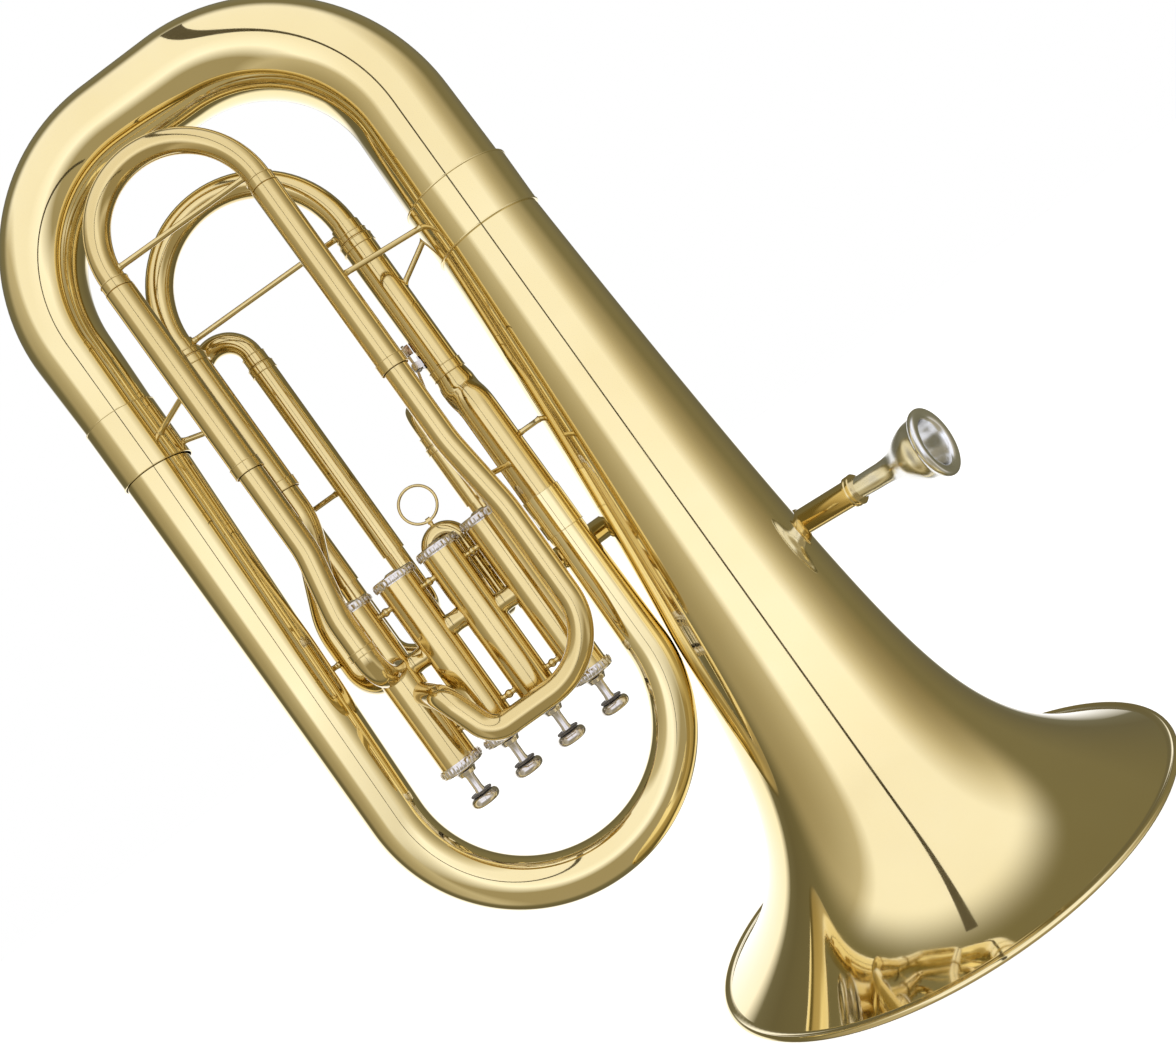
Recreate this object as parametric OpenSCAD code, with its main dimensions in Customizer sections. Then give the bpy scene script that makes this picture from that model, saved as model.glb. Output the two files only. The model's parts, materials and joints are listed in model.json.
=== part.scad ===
// Four-valve tenor tuba (euphonium) with in-line piston valves.
// The instrument stands on its bell rim: z = 0 is the rim plane, +Z runs from the bell to the
// bottom bow, and the player's side, with the mouthpiece in front, faces -Y.

/* [Bell] */
// Diameter over the rolled rim of the bell
bell_diameter = 280; // [276:1:284]
// Height of the bell from the rim to the ferrule
bell_height = 434; // [430:1:438]
// Wall of the bell and of the large conical bows
large_wall = 0.9; // [0.7:0.1:1.2]

/* [Tubing] */
// Outer radius of the main tuning slide's sleeves
main_sleeve_r = 9.4; // [9.2:0.1:9.6]
// Outer radius of the fourth-valve slide's sleeves
fourth_sleeve_r = 7.9; // [7.7:0.1:8.1]
// Outer radius of the first- and third-valve slides' sleeves
valve_sleeve_r = 7.2; // [7:0.1:7.4]
// Wall of the slide tubes and sleeves
small_wall = 0.9; // [0.7:0.1:1]

/* [Valves] */
// Distance between neighbouring valve axes
valve_pitch = 28.9; // [28.7:0.1:29.1]
// Outer radius of a valve casing
casing_r = 11.25; // [11:0.05:11.3]
// Travel of a valve when its button is pressed
valve_travel = 10; // [8:0.5:10]

/* [Hidden] */
$fn = 64;

brass = [0.86, 0.74, 0.42];
nickel = [0.80, 0.78, 0.76];
silver = [0.86, 0.87, 0.88];
felt_brown = [0.30, 0.25, 0.19];
cork_tan = [0.66, 0.48, 0.30];

fit = 0.05;             // radial running clearance of slides, pistons and pins
sink = 1.2;             // how far a stay reaches in before its foot is coped to the tube
stay_r = 1.6;           // the thin soldered stays
foot_h = 2.4;
joint_sink = 0.5;       // how far a brace reaches into a tube of its own node
solder_gap = 0.02;      // gap between the lengths of tube that are soldered end to end
ferrule_lip = 0.8;      // radial thickness of the ferrules
ferrule_seat = 0.05;    // gap between the bell's ferrule and the widest tube inside it

// Bell and conical bows, in the plane y = 0
bell_x = 51.3;
rim_bead_r = 1.5;
bell_end_r = 30.3;
bell_taper = 0.047;
bell_swell = 7.8e-5;
flare_length = 34;
bell_joints = [120, 270]; // where the bell's three lengths are brazed together
flare_r = bell_diameter / 2 - bell_end_r - bell_taper * bell_height - bell_swell * pow(bell_height, 2);
bow_start_z = bell_height;
bell_ferrule_z = 418;
bow_right_x = -170.4;
bow_bottom_z = 586.2;
bow_bend_r = 89.5;
bow_end_r = 19.4;
bow_ferrule_bore = 19.95;
bow_ferrule_lip = 0.5;
upper_x = -91.55;        // centre of the upper bow's half circle
upper_z = 188.75;
upper_bend_r = 83.05;
upper_lean = 0.98;      // lean of the long leg, in degrees
upper_start_r = 19.3;
upper_end_r = 10.9;
branch_x = upper_x + upper_bend_r;
branch_z = 276;
narrow_r = 10.5;         // where the small branch steps back to the main slide
step_z = 342;
bow_sides = 28;
bow_steps = 14;

// Main tuning slide
main_y = 7;
main_left_x = -10.5;
main_right_x = -122.95;
main_sleeve_top = 372;
main_sleeve_end = 460;
main_bow_z = 470;
main_brace_z = 467.2;
main_leg_r = main_sleeve_r - small_wall - fit;
main_bow_r = main_leg_r - small_wall;
main_tube_r = main_sleeve_r - small_wall - solder_gap;
main_port = [-147.85, 16, 256]; // where the slide's tube turns in to the fourth valve

// Fourth-valve slide, in front
fourth_y = -34.5;
fourth_left_x = -31.2;
fourth_right_x = -123.3;
fourth_front_x = -26.4;  // where the long front leg of its tubing runs
fourth_back_x = -130.4;
fourth_sleeve_top = 384;
fourth_sleeve_end = 497;
fourth_bow_z = 503.6;
fourth_leg_r = fourth_sleeve_r - small_wall - fit;
fourth_tube_r = fourth_sleeve_r - small_wall - solder_gap;

// Third-valve slide, behind
third_y = 27;
third_left_x = -95.7;
third_right_x = -127.55;
third_sleeve_top = 310;
third_sleeve_end = 440;
third_bow_z = 447.6;
third_leg_r = valve_sleeve_r - small_wall - fit;
third_tube_r = valve_sleeve_r - small_wall - solder_gap;

// First-valve slide, behind, with its legs one behind the other
first_x = -39.85;
first_near_y = 21.5;
first_far_y = 47.5;
first_sleeve_top = 306;
first_sleeve_end = 345;
first_bow_z = 355;

// Second-valve slide, behind
second_y = 27;
second_left_x = -59.55;
second_right_x = -78.55;
second_sleeve_r = 6.6;
second_leg_r = second_sleeve_r - small_wall - fit;
second_tube_r = second_sleeve_r - small_wall - solder_gap;
second_sleeve_top = 268;
second_sleeve_end = 291;
second_bow_z = 295;
ring_r = 11;
ring_wire_r = 0.9;
ring_x = (second_left_x + second_right_x) / 2;
ring_pivot_z = 313.1;

// Valves: one axis each, numbered from the mouthpiece side
first_valve_x = -42.3;
function valve_x(n) = first_valve_x - (n - 1) * valve_pitch;
casing_top = 196;
casing_end = 294;
piston_top = 214;
piston_end = 274;
casing_bore = casing_r - 0.95;
piston_r = casing_bore - fit;
port_r = 5.2;
cap_r = 12.75;
stem_r = 3;
button_r = 8.7;
button_top = 166.3;
button_end = 174;
felt_h = 1.2;
press_spare = 1.3;      // what is left between felt and collar with the valve down
collar_top = button_end + felt_h + valve_travel + press_spare;
cap_seat = 296.5;
knuckle_r = 6;
knuckle_z = [251.7, 258, 252.3];

// Mouthpiece and leadpipe: the mouthpiece points out to the left and towards the player
rim_centre = [175.6, -32.5, 189];
mouth_dir = [-0.766, 0.643, 0];
mouth_rim_r = 20;
mouthpiece_length = 80;
receiver_start = 54;
receiver_length = 46;
lead_r = 6;
lead_wide_r = 6.9;
lead_z = 252.6;

// ---- Vector helpers ----
function unit(v) = v / norm(v);
function side_of(v) = unit(cross(abs(v[2]) < 0.9 ? [0, 0, 1] : [0, 1, 0], v));
function along(p, v, d) = p + unit(v) * d;

// Moves its children so that their +Z points along z_dir and their +X along x_dir
module place(p, z_dir, x_dir) {
    x = unit(x_dir);
    z = unit(z_dir);
    y = cross(z, x);
    multmatrix([[x[0], y[0], z[0], p[0]],
                [x[1], y[1], z[1], p[1]],
                [x[2], y[2], z[2], p[2]],
                [0, 0, 0, 1]]) children();
}

// ---- Tubes ----
module tube(length, r, wall) {
    difference() {
        cylinder(h = length, r = r);
        translate([0, 0, -1]) cylinder(h = length + 2, r = r - wall);
    }
}

// A bend that starts at the origin along +Z and turns towards +X
module bend(bend_r, angle, r, wall) {
    translate([bend_r, 0, 0]) rotate([90, 0, 180]) rotate_extrude(angle = angle)
        translate([bend_r, 0]) difference() {
            circle(r = r);
            circle(r = r - wall);
        }
}

// A tube of one radius through points, with a bend of radius bends[i] at each inner point
module pipe(points, bends, r, wall) {
    last = len(points) - 1;
    dirs = [for (i = [0 : last - 1]) unit(points[i + 1] - points[i])];
    turns = [for (i = [1 : 1 : last - 1]) acos(dirs[i - 1] * dirs[i])];
    cuts = [0, each [for (i = [1 : 1 : last - 1]) bends[i - 1] * tan(turns[i - 1] / 2)], 0];
    for (i = [0 : last - 1]) {
        length = norm(points[i + 1] - points[i]) - cuts[i] - cuts[i + 1] - 2 * solder_gap;
        if (length > solder_gap)
            place(points[i] + (cuts[i] + solder_gap) * dirs[i], dirs[i], side_of(dirs[i]))
                tube(length, r, wall);
    }
    for (i = [1 : 1 : last - 1])
        place(points[i] - cuts[i] * dirs[i - 1], dirs[i - 1],
              dirs[i] - (dirs[i] * dirs[i - 1]) * dirs[i - 1])
            bend(bends[i - 1], turns[i - 1], r, wall);
}

// A straight tube between two points
module sleeve(a, b, r, wall) pipe([a, b], [], r, wall);

// A ring round a tube, with a raised bead at each end
module ferrule(a, b, bore_r, lip) {
    bead = lip * 0.6;
    sleeve(a, b, bore_r + lip, lip);
    for (end = [[a, b], [b, a]])
        sleeve(end[0], along(end[0], end[1] - end[0], bead * 2), bore_r + lip + bead, bead);
}

// A thin soldered stay between two points, with a small foot at each end
module stay(a, b, r) {
    length = norm(b - a);
    place(a, b - a, side_of(unit(b - a))) {
        cylinder(h = length, r = r);
        for (z = [0, length - foot_h]) translate([0, 0, z]) cylinder(h = foot_h, r = r + 0.8);
    }
}

// ---- Tapered bows ----
// Stations are [point, direction] pairs along a line in the plane y = 0
function leg_stations(a, b, n) = [for (i = [0 : n - 1]) [a + (b - a) * i / n, unit(b - a)]];
function turn_stations(start, dir, towards, bend_r, angle, n) =
    [for (i = [0 : n - 1]) let (t = angle * i / n)
        [start + bend_r * (dir * sin(t) + towards * (1 - cos(t))), dir * cos(t) + towards * sin(t)]];
function distances(st) =
    [for (i = 0, s = 0; i < len(st); i = i + 1,
        s = i < len(st) ? s + norm(st[i][0] - st[i - 1][0]) : s) s];

// A hollow round tube through stations whose radius falls evenly from r_start to r_end
module tapered_tube(stations, r_start, r_end, wall) {
    n = len(stations);
    gone = distances(stations);
    function radius(i) = r_start + (r_end - r_start) * gone[i] / gone[n - 1];
    function ring(i, r) = [for (k = [0 : bow_sides - 1]) let (a = 360 * k / bow_sides)
        stations[i][0] + r * (cos(a) * cross(stations[i][1], [0, 1, 0]) + sin(a) * [0, 1, 0])];
    points = [for (i = [0 : n - 1]) each [each ring(i, radius(i)), each ring(i, radius(i) - wall)]];
    function outer(i, k) = i * 2 * bow_sides + k % bow_sides;
    function inner(i, k) = outer(i, k) + bow_sides;
    steps = [for (i = [0 : n - 2]) for (k = [0 : bow_sides - 1]) each [
        [outer(i, k), outer(i, k + 1), outer(i + 1, k + 1)],
        [outer(i, k), outer(i + 1, k + 1), outer(i + 1, k)],
        [inner(i, k + 1), inner(i, k), inner(i + 1, k + 1)],
        [inner(i + 1, k + 1), inner(i, k), inner(i + 1, k)]]];
    ends = [for (k = [0 : bow_sides - 1]) each [
        [outer(0, k + 1), outer(0, k), inner(0, k)],
        [outer(0, k + 1), inner(0, k), inner(0, k + 1)],
        [outer(n - 1, k), outer(n - 1, k + 1), inner(n - 1, k)],
        [inner(n - 1, k), outer(n - 1, k + 1), inner(n - 1, k + 1)]]];
    polyhedron(points, concat(steps, ends));
}

// ---- Bell section ----
function bell_r(z) = let (h = bell_height - z)
    bell_end_r + bell_taper * h + bell_swell * h * h + flare_r * exp(-z / flare_length);

function bell_slope(z) =
    -bell_taper - 2 * bell_swell * (bell_height - z) - flare_r / flare_length * exp(-z / flare_length);

// A point on the bore, level with a point z on the outside
function bell_bore(z) = [bell_r(z), z] + large_wall * unit([-1, bell_slope(z)]);

// The bell is brazed up from three lengths: the flare with its rolled rim, the throat and the tail.
// Each is one closed outline, down the outer wall and back up the bore. The rim's bead is cut flat
// at z = 0, where the instrument stands.
module bell() {
    lip_z = 2.2;
    bead = [bell_diameter / 2 - rim_bead_r, rim_bead_r * 0.8];
    rim = [for (a = [130 : -15 : -155])
        [bead[0] + rim_bead_r * cos(a), max(0, bead[1] + rim_bead_r * sin(a))]];
    ends = [lip_z, bell_joints[0], bell_joints[1], bell_height];
    steps = [20, 8, 7];
    last = len(steps) - 1;
    color(brass) translate([bell_x, 0, 0]) for (i = [0 : last]) {
        from = ends[i] + (i > 0 ? solder_gap : 0);
        to = ends[i + 1] - (i < last ? solder_gap : 0);
        levels = [for (k = [0 : steps[i]]) from + (to - from) * pow(k / steps[i], i > 0 ? 1 : 2)];
        outline = [
            for (k = [steps[i] : -1 : 0]) [bell_r(levels[k]), levels[k]],
            if (i == 0) each rim,
            for (k = [0 : steps[i] - 1]) bell_bore(levels[k]),
            i < last ? bell_bore(to) : [bell_r(to) - large_wall, to]
        ];
        rotate_extrude($fn = 96) polygon(outline);
    }
}

module bell_ferrule() {
    color(brass) ferrule([bell_x, 0, bell_ferrule_z], [bell_x, 0, 450],
        bell_r(bell_ferrule_z) + ferrule_seat, ferrule_lip);
}

module bottom_bow() {
    first = [bell_x, 0, bow_bottom_z - bow_bend_r];
    flat = (bell_x - bow_right_x) - 2 * bow_bend_r;
    second = [bow_right_x + bow_bend_r, 0, bow_bottom_z];
    foot = [bow_right_x, 0, bow_bottom_z - bow_bend_r];
    stations = concat(
        leg_stations([bell_x, 0, bow_start_z], first, 3),
        turn_stations(first, [0, 0, 1], [-1, 0, 0], bow_bend_r, 90, bow_steps),
        leg_stations(second + [flat, 0, 0], second, 2),
        turn_stations(second, [-1, 0, 0], [0, 0, -1], bow_bend_r, 90, bow_steps),
        leg_stations(foot, [bow_right_x, 0, bow_start_z], 3),
        [[[bow_right_x, 0, bow_start_z], [0, 0, -1]]]);
    color(brass) tapered_tube(stations, bell_end_r, bow_end_r, large_wall);
}

module bow_ferrule() {
    color(brass) ferrule([bow_right_x, 0, 418], [bow_right_x, 0, 454], bow_ferrule_bore, bow_ferrule_lip);
}

module upper_bow() {
    turn_start = [upper_x - upper_bend_r * cos(upper_lean), 0, upper_z + upper_bend_r * sin(upper_lean)];
    lean_dir = [-sin(upper_lean), 0, -cos(upper_lean)];
    leg = (bow_start_z - turn_start[2]) / cos(upper_lean);
    stations = concat(
        leg_stations(turn_start - leg * lean_dir, turn_start, 6),
        turn_stations(turn_start, lean_dir, [cos(upper_lean), 0, -sin(upper_lean)],
                      upper_bend_r, 180 + upper_lean, 2 * bow_steps),
        leg_stations([branch_x, 0, upper_z], [branch_x, 0, branch_z], 3),
        [[[branch_x, 0, branch_z], [0, 0, 1]]]);
    color(brass) tapered_tube(stations, upper_start_r, upper_end_r, large_wall);
}

module branch_ferrule() {
    color(brass) ferrule([branch_x, 0, 264], [branch_x, 0, 288], upper_end_r + 0.25, 0.4);
}

// A straight conical tube along +Z
module cone_tube(length, r_start, r_end, wall) {
    difference() {
        cylinder(h = length, r1 = r_start, r2 = r_end);
        translate([0, 0, -0.01]) cylinder(h = length + 0.02, r1 = r_start - wall, r2 = r_end - wall);
    }
}

function branch_r(z) = upper_end_r + (narrow_r - upper_end_r) * (z - branch_z) / (step_z - branch_z);

// The branch narrows, steps back to the main slide's plane and narrows again to its sleeve
module small_branch() {
    end_z = 364;
    color(brass) {
        translate([branch_x, 0, branch_z]) cone_tube(step_z - branch_z, upper_end_r, narrow_r,
            large_wall);
        pipe([[branch_x, 0, step_z], [branch_x, 0, step_z + 6], [main_left_x, main_y, end_z - 6],
              [main_left_x, main_y, end_z]], [14, 14], narrow_r, large_wall);
        translate([main_left_x, main_y, end_z])
            cone_tube(main_sleeve_top - end_z - 2, narrow_r, main_sleeve_r, large_wall);
    }
}

// ---- Main tuning slide ----
module main_slide_sleeves() {
    axis = [valve_x(4), 0, main_port[2]];
    color(brass) {
        for (x = [main_left_x, main_right_x]) {
            sleeve([x, main_y, main_sleeve_top], [x, main_y, main_sleeve_end], main_sleeve_r, small_wall);
            ferrule([x, main_y, main_sleeve_top - 2], [x, main_y, main_sleeve_top + 4], main_sleeve_r,
                0.5);
            ferrule([x, main_y, main_sleeve_end - 5], [x, main_y, main_sleeve_end], main_sleeve_r, 0.5);
        }
        difference() {
            pipe([[main_right_x, main_y, main_sleeve_top], [main_right_x, main_y, 350],
                  [main_port[0], main_port[1], 296], main_port, along(axis, main_port - axis, 6)],
                 [40, 40, 13], main_tube_r, small_wall);
            translate([valve_x(4), 0, 200]) cylinder(h = 100, r = casing_r);
        }
    }
}

module main_slide_bow() {
    legs = [main_left_x, main_right_x];
    color(brass) {
        for (x = legs) {
            sleeve([x, main_y, main_sleeve_top + 20], [x, main_y, main_bow_z], main_leg_r, small_wall);
            ferrule([x, main_y, main_sleeve_end + 0.5], [x, main_y, main_sleeve_end + 4.2], main_leg_r,
                0.6);
        }
        slide_bow([legs[0], main_y, main_bow_z], [legs[1], main_y, main_bow_z], main_bow_r);
        slide_brace([legs[0], main_y, main_brace_z], [legs[1], main_y, main_brace_z],
            main_leg_r - joint_sink);
    }
}

// The U of a slide, from the end of one leg to the end of the other, turning towards +Z
module slide_bow(a, b, r) {
    half = norm(b - a) / 2;
    pipe([a, a + [0, 0, half], b + [0, 0, half], b], [half, half], r, small_wall);
}

// The cross brace of a slide's bow, from the wall of one leg to the wall of the other
module slide_brace(a, b, start_r) {
    dir = unit(b - a);
    stay(a + dir * start_r, b - dir * start_r, stay_r);
}

// ---- Water key on the main slide's left sleeve ----
key_z = 384;
key_x = main_left_x - main_sleeve_r;
key_pin_x = key_x - 3.4;
key_cork_z = 10.5;

module water_key_saddle() {
    color(nickel) difference() {
        union() {
            for (side = [-1, 1]) translate([key_pin_x - 1.6, main_y + side * 4.2 - 0.7, key_z - 2])
                cube([5.8, 1.4, 4]);
            translate([key_x - 0.5, main_y - 4.9, key_z - 4]) cube([1, 9.8, 8]);
        }
        translate([key_pin_x, main_y, key_z]) rotate([90, 0, 0])
            cylinder(h = 20, r = 1, center = true);
        translate([main_left_x, main_y, key_z - 10]) cylinder(h = 20, r = main_sleeve_r);
    }
}

module water_key_pin() {
    color(nickel) translate([key_pin_x, main_y, key_z]) rotate([90, 0, 0]) {
        cylinder(h = 10.4, r = 1, center = true);
        for (side = [-1, 1]) translate([0, 0, side * 5.5]) cylinder(h = 1, r = 1.7, center = true);
    }
}

// The cork end lies over the drain hole; the thumb plate stands off the tube on the other side
module water_key_lever() {
    stand_off = 14;
    bar = [1.6, 3.2];
    color(nickel) translate([key_pin_x, main_y, key_z]) difference() {
        union() {
            rotate([90, 0, 0]) cylinder(h = 6.4, r = 2, center = true);
            translate([-1, -bar[1] / 2, 0]) cube([bar[0], bar[1], key_cork_z]);
            translate([-1, 0, key_cork_z]) rotate([0, 90, 0]) cylinder(h = bar[0], r = 3.8);
            rotate([0, stand_off, 0]) {
                translate([-1, -bar[1] / 2, -24]) cube([bar[0], bar[1], 24]);
                translate([-1, -4, -31]) cube([bar[0], 8, 9]);
            }
        }
        rotate([90, 0, 0]) cylinder(h = 20, r = 1 + fit, center = true);
    }
}

// Turns of the torsion spring round the lever's barrel
module water_key_spring() {
    wire = 0.35;
    color(silver) for (y = [-2.7, -2, 2, 2.7]) translate([key_pin_x, main_y + y, key_z])
        rotate([90, 0, 0])
        rotate_extrude() translate([2.1 + wire, 0]) circle(r = wire, $fn = 16);
}

module water_key_cork() {
    color(cork_tan) translate([key_pin_x + 0.6, main_y, key_z + key_cork_z]) rotate([0, 90, 0])
        cylinder(h = 2.3, r = 3);
}

// ---- First-valve slide ----
module first_slide_sleeves() {
    axis_y = 5;
    color(brass) {
        for (y = [first_near_y, first_far_y]) {
            sleeve([first_x, y, first_sleeve_top], [first_x, y, first_sleeve_end], valve_sleeve_r,
                small_wall);
            ferrule([first_x, y, first_sleeve_end - 4], [first_x, y, first_sleeve_end], valve_sleeve_r,
                0.5);
        }
        difference() {
            union() {
                pipe([[first_x, axis_y, 284], [first_x, first_near_y, 284],
                    [first_x, first_near_y, first_sleeve_top]],
                     [8.5], third_tube_r, small_wall);
                pipe([[first_x, axis_y, 267], [first_x, first_far_y, 267],
                    [first_x, first_far_y, first_sleeve_top]],
                     [14], third_tube_r, small_wall);
            }
            translate([valve_x(1), 0, 200]) cylinder(h = 100, r = casing_r);
        }
    }
}

module first_slide_bow() {
    color(brass) {
        for (y = [first_near_y, first_far_y]) {
            sleeve([first_x, y, first_sleeve_top + 4], [first_x, y, first_bow_z], third_leg_r,
                small_wall);
            ferrule([first_x, y, first_sleeve_end + 0.5], [first_x, y, first_sleeve_end + 7],
                third_leg_r, 0.6);
        }
        slide_bow([first_x, first_near_y, first_bow_z], [first_x, first_far_y, first_bow_z], third_leg_r);
    }
}

// ---- Second-valve slide and its pull ring ----
module second_slide_sleeves() {
    ports = [[second_left_x, 248], [second_right_x, 262]];
    color(brass) {
        for (x = [second_left_x, second_right_x])
            sleeve([x, second_y, second_sleeve_top], [x, second_y, second_sleeve_end], second_sleeve_r,
                small_wall);
        difference() {
            for (port = ports)
                pipe([[valve_x(2) + (port[0] - valve_x(2)) * 0.3, 4, port[1]],
                      [port[0], second_y, port[1]],
                      [port[0], second_y, second_sleeve_top + 4]], [8], second_tube_r, small_wall);
            translate([valve_x(2), 0, 200]) cylinder(h = 100, r = casing_r);
        }
    }
}

module second_slide_bow() {
    color(brass) {
        for (x = [second_left_x, second_right_x])
            sleeve([x, second_y, second_sleeve_top + 6], [x, second_y, second_bow_z], second_leg_r,
                small_wall);
        slide_bow([second_left_x, second_y, second_bow_z], [second_right_x, second_y, second_bow_z],
            second_leg_r);
        difference() {
            translate([ring_x - 1.5, second_y - 2, ring_pivot_z - 4.2]) cube([3, 4, 6.4]);
            translate([ring_x, second_y, ring_pivot_z]) rotate([0, 90, 0])
                cylinder(h = 10, r = ring_wire_r + 0.25, center = true);
        }
    }
}

module second_slide_ring() {
    color(brass) translate([ring_x, second_y, ring_pivot_z + ring_r]) rotate([90, 0, 0])
        rotate_extrude() translate([ring_r, 0]) circle(r = ring_wire_r, $fn = 20);
}

// ---- Third-valve slide ----
module third_slide_sleeves() {
    color(brass) {
        for (x = [third_left_x, third_right_x]) {
            sleeve([x, third_y, third_sleeve_top], [x, third_y, third_sleeve_end], valve_sleeve_r,
                small_wall);
            ferrule([x, third_y, third_sleeve_end - 5], [x, third_y, third_sleeve_end], valve_sleeve_r,
                0.5);
        }
        stay([third_left_x - valve_sleeve_r + joint_sink, third_y, 356],
             [third_right_x + valve_sleeve_r - joint_sink, third_y, 356], stay_r);
        difference() {
            union() {
                pipe([[third_left_x - 3, 4, 272], [third_left_x, third_y, 272],
                    [third_left_x, third_y, third_sleeve_top]],
                     [10], third_tube_r, small_wall);
                pipe([[third_left_x - 5, 4, 244], [third_left_x - 8, third_y, 244],
                    [third_right_x, third_y, 262],
                      [third_right_x, third_y, third_sleeve_top]], [9, 14], third_tube_r, small_wall);
            }
            translate([valve_x(3), 0, 200]) cylinder(h = 100, r = casing_r);
        }
    }
}

module third_slide_bow() {
    color(brass) {
        for (x = [third_left_x, third_right_x]) {
            sleeve([x, third_y, third_sleeve_top + 10], [x, third_y, third_bow_z], third_leg_r,
                small_wall);
            ferrule([x, third_y, third_sleeve_end + 0.5], [x, third_y, third_bow_z - 0.5], third_leg_r,
                0.6);
        }
        slide_bow([third_left_x, third_y, third_bow_z], [third_right_x, third_y, third_bow_z],
            third_leg_r);
    }
}

// ---- Fourth-valve tubing and slide ----
module fourth_valve_tubing() {
    axis = [valve_x(4), 0, 0];
    top_z = 199.4;
    color(brass) {
        for (x = [fourth_left_x, fourth_right_x]) {
            sleeve([x, fourth_y, fourth_sleeve_top], [x, fourth_y, fourth_sleeve_end], fourth_sleeve_r,
                small_wall);
            ferrule([x, fourth_y, fourth_sleeve_top - 2], [x, fourth_y, fourth_sleeve_top + 4],
                fourth_sleeve_r, 0.4);
        }
        difference() {
            union() {
                pipe([axis + [6, -4, 236], [-110.4, fourth_y + 2, 229], [-99.4, fourth_y, top_z],
                      [fourth_front_x, fourth_y, top_z], [fourth_front_x, fourth_y, 292],
                      [fourth_left_x, fourth_y, 336],
                      [fourth_left_x, fourth_y, fourth_sleeve_top]], [12, 14, 37, 100, 100],
                          fourth_tube_r, small_wall);
                pipe([axis + [2, -4, 256], [fourth_back_x, fourth_y, 256], [fourth_back_x, fourth_y, 294],
                      [fourth_right_x, fourth_y, 332], [fourth_right_x, fourth_y, fourth_sleeve_top]],
                     [14, 60, 60], fourth_tube_r, small_wall);
            }
            translate([valve_x(4), 0, 200]) cylinder(h = 100, r = casing_r);
        }
        ferrule([fourth_back_x, fourth_y, 271], [fourth_back_x, fourth_y, 275], fourth_tube_r, 0.5);
    }
}

module fourth_slide_bow() {
    legs = [fourth_left_x, fourth_right_x];
    color(brass) {
        for (x = legs) {
            sleeve([x, fourth_y, fourth_sleeve_top + 20], [x, fourth_y, fourth_bow_z], fourth_leg_r,
                small_wall);
            ferrule([x, fourth_y, fourth_sleeve_end + 0.5], [x, fourth_y, fourth_bow_z - 0.5],
                fourth_leg_r, 0.6);
        }
        slide_bow([legs[0], fourth_y, fourth_bow_z], [legs[1], fourth_y, fourth_bow_z], fourth_leg_r);
        slide_brace([legs[0], fourth_y, fourth_bow_z + 4], [legs[1], fourth_y, fourth_bow_z + 4],
            fourth_leg_r);
    }
}

// ---- Leadpipe, receiver and mouthpiece ----
// A point on the mouthpiece axis, measured from the rim
function on_mouth_axis(d) = rim_centre + mouth_dir * d;

module leadpipe() {
    wrap_start = on_mouth_axis(130.5);
    end_dir = [-0.8025, -0.5966, 0];
    valve_axis = [valve_x(1), 0, lead_z];
    wrap_end = valve_axis - end_dir * 96.7;
    middle = (wrap_start + wrap_end) / 2;
    down = unit(wrap_end - wrap_start);
    color(brass) {
        pipe([on_mouth_axis(receiver_start + receiver_length - 4), wrap_start, middle - 3 * down], [28],
             lead_r, large_wall);
        difference() {
            pipe([middle + 3 * down, wrap_end, valve_axis - end_dir * 5], [28], lead_wide_r, large_wall);
            translate([valve_x(1), 0, 200]) cylinder(h = 100, r = casing_r);
        }
        sleeve(middle - 3 * down, middle + 3 * down, lead_wide_r + 0.7, 2.2);
    }
}

shank_start_r = 6.1;
shank_end_r = 5;

module mouthpiece_receiver() {
    socket = mouthpiece_length - receiver_start + 1;
    step = receiver_length - 4;
    color(brass) place(on_mouth_axis(receiver_start), mouth_dir, [0, 0, 1]) difference() {
        union() {
            cylinder(h = receiver_length, r = 7.8);
            cylinder(h = 5, r = 9.2);
            translate([0, 0, receiver_length - 4]) cylinder(h = 4, r = 8.8);
        }
        translate([0, 0, -0.01]) cylinder(h = socket, r1 = shank_start_r + fit, r2 = shank_end_r + fit);
        translate([0, 0, socket - 0.1]) cylinder(h = receiver_length, r = shank_end_r - 0.4);
        translate([0, 0, step]) cylinder(h = 10, r = lead_r);
    }
}

module mouthpiece() {
    shank = receiver_start;
    outline = [
        [17, 0], [19.6, 0.8], [mouth_rim_r, 2.2], [19.4, 4], [17.6, 5.2], [16.9, 9], [15.2, 15],
        [12, 21], [8.6, 26], [6.9, 31], [6.4, 38], [shank_start_r + 0.35, shank - 2],
        [shank_start_r, shank], [shank_end_r + 0.04, mouthpiece_length],
        [4.1, mouthpiece_length], [3.4, 40], [3.2, 24], [5, 20.5], [9, 16.5], [11.6, 11], [12.8, 4],
            [14, 1]
    ];
    color(silver) place(rim_centre, mouth_dir, [0, 0, 1]) rotate_extrude() polygon(outline);
}

// ---- Valves ----
module at_valve(n) translate([valve_x(n), 0, 0]) children();

module valve_casing(n) {
    color(brass) at_valve(n) difference() {
        translate([0, 0, casing_top]) tube(casing_end - casing_top, casing_r, casing_r - casing_bore);
        if (n < 4) translate([0, 0, knuckle_z[n - 1]]) rotate([0, -90, 0]) cylinder(h = 20, r = port_r);
        if (n > 1) translate([0, 0, knuckle_z[n - 2]]) rotate([0, 90, 0]) cylinder(h = 20, r = port_r);
    }
}

// Outer tube with two end discs and a cross port
module valve_piston(n) {
    port_z = n < 4 ? knuckle_z[n - 1] : knuckle_z[2];
    color(nickel) at_valve(n) difference() {
        union() {
            translate([0, 0, piston_top]) tube(piston_end - piston_top, piston_r, 0.8);
            for (z = [piston_top, piston_end - 1.5]) translate([0, 0, z])
                cylinder(h = 1.5, r = piston_r - 0.4);
            intersection() {
                translate([0, 0, port_z]) rotate([0, 90, 0])
                    cylinder(h = 2 * piston_r, r = port_r + 0.8, center = true);
                translate([0, 0, piston_top]) cylinder(h = piston_end - piston_top, r = piston_r - 0.4);
            }
        }
        translate([0, 0, port_z]) rotate([0, 90, 0]) cylinder(h = 40, r = port_r, center = true);
    }
}

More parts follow.
